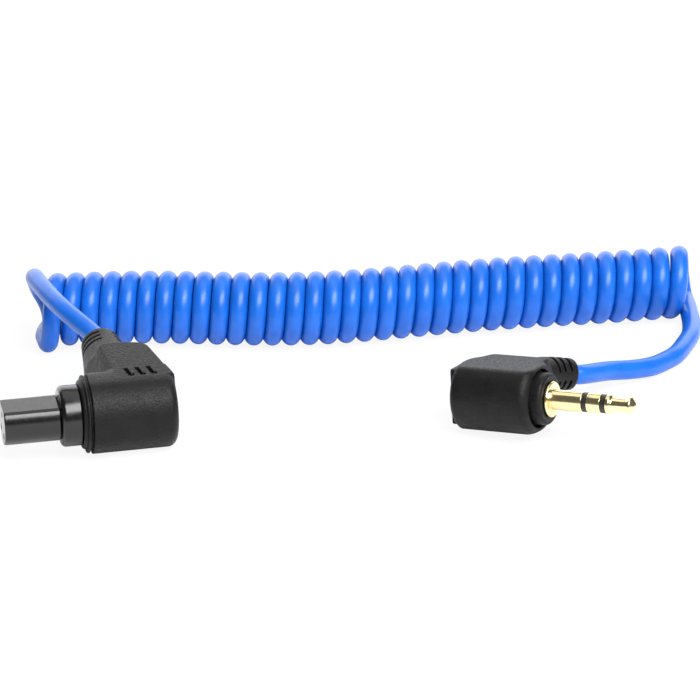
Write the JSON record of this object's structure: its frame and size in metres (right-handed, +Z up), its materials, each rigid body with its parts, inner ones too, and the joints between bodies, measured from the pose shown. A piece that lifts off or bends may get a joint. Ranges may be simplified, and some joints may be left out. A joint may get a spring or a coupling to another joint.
{
  "type": "coiled shutter release cable",
  "caption": "Blue coiled cord with a right-angle camera plug moulded on one end and a right-angle gold-plated stereo jack plug on the other, for firing a camera's shutter from a distance.",
  "frame": {"origin": "on the table, under the middle of the box round both plugs", "axes": "+X along the coil from the camera plug's side to the jack's side, +Y from the plugs towards the coil, +Z up"},
  "size_m": [0.0935, 0.0555, 0.0112],
  "materials": {
    "black_pvc": "matte, with a fine moulded grain",
    "black_abs": "glossy, as moulded",
    "moulding_insert": "natural polyethylene",
    "band_plastic": "black nylon",
    "gold_plate": "turned and gold plated",
    "tinned_brass": "stamped and tinned",
    "blue_cord": "satin blue polyurethane jacket",
    "red_wire": "satin insulation",
    "white_wire": "satin insulation",
    "copper_screen": "twisted bare copper"
  },
  "bodies": {
    "camera_end": {"camera_plug_overmould": "black_pvc", "camera_plug_inner_mould": "moulding_insert", "camera_plug_nose": "black_abs", "camera_plug_collar": "black_abs", "camera_contact_ground": "gold_plate", "camera_contact_shutter": "gold_plate", "camera_contact_focus": "gold_plate", "camera_wire_ground": "copper_screen", "camera_wire_shutter": "red_wire", "camera_wire_focus": "white_wire", "camera_end_lead": "blue_cord", "curly_cord": "blue_cord"},
    "jack_end": {"jack_end_lead": "blue_cord", "jack_plug_overmould": "black_pvc", "jack_plug_inner_mould": "moulding_insert", "jack_sleeve": "gold_plate", "jack_ring": "gold_plate", "jack_tip": "gold_plate", "jack_sleeve_insulator": "band_plastic", "jack_ring_insulator": "band_plastic", "jack_sleeve_lug": "tinned_brass", "jack_ring_lug": "tinned_brass", "jack_tip_lug": "tinned_brass", "jack_wire_sleeve": "copper_screen", "jack_wire_ring": "white_wire", "jack_wire_tip": "red_wire"}
  },
  "joints": [
    {"name": "cord_stretch", "type": "slide", "parent": "camera_end", "child": "jack_end", "axis": [1, 0, 0], "range_m": [0, 0.25], "stiffness_N_per_m": 10, "deforming": ["curly_cord"]}
  ]
}
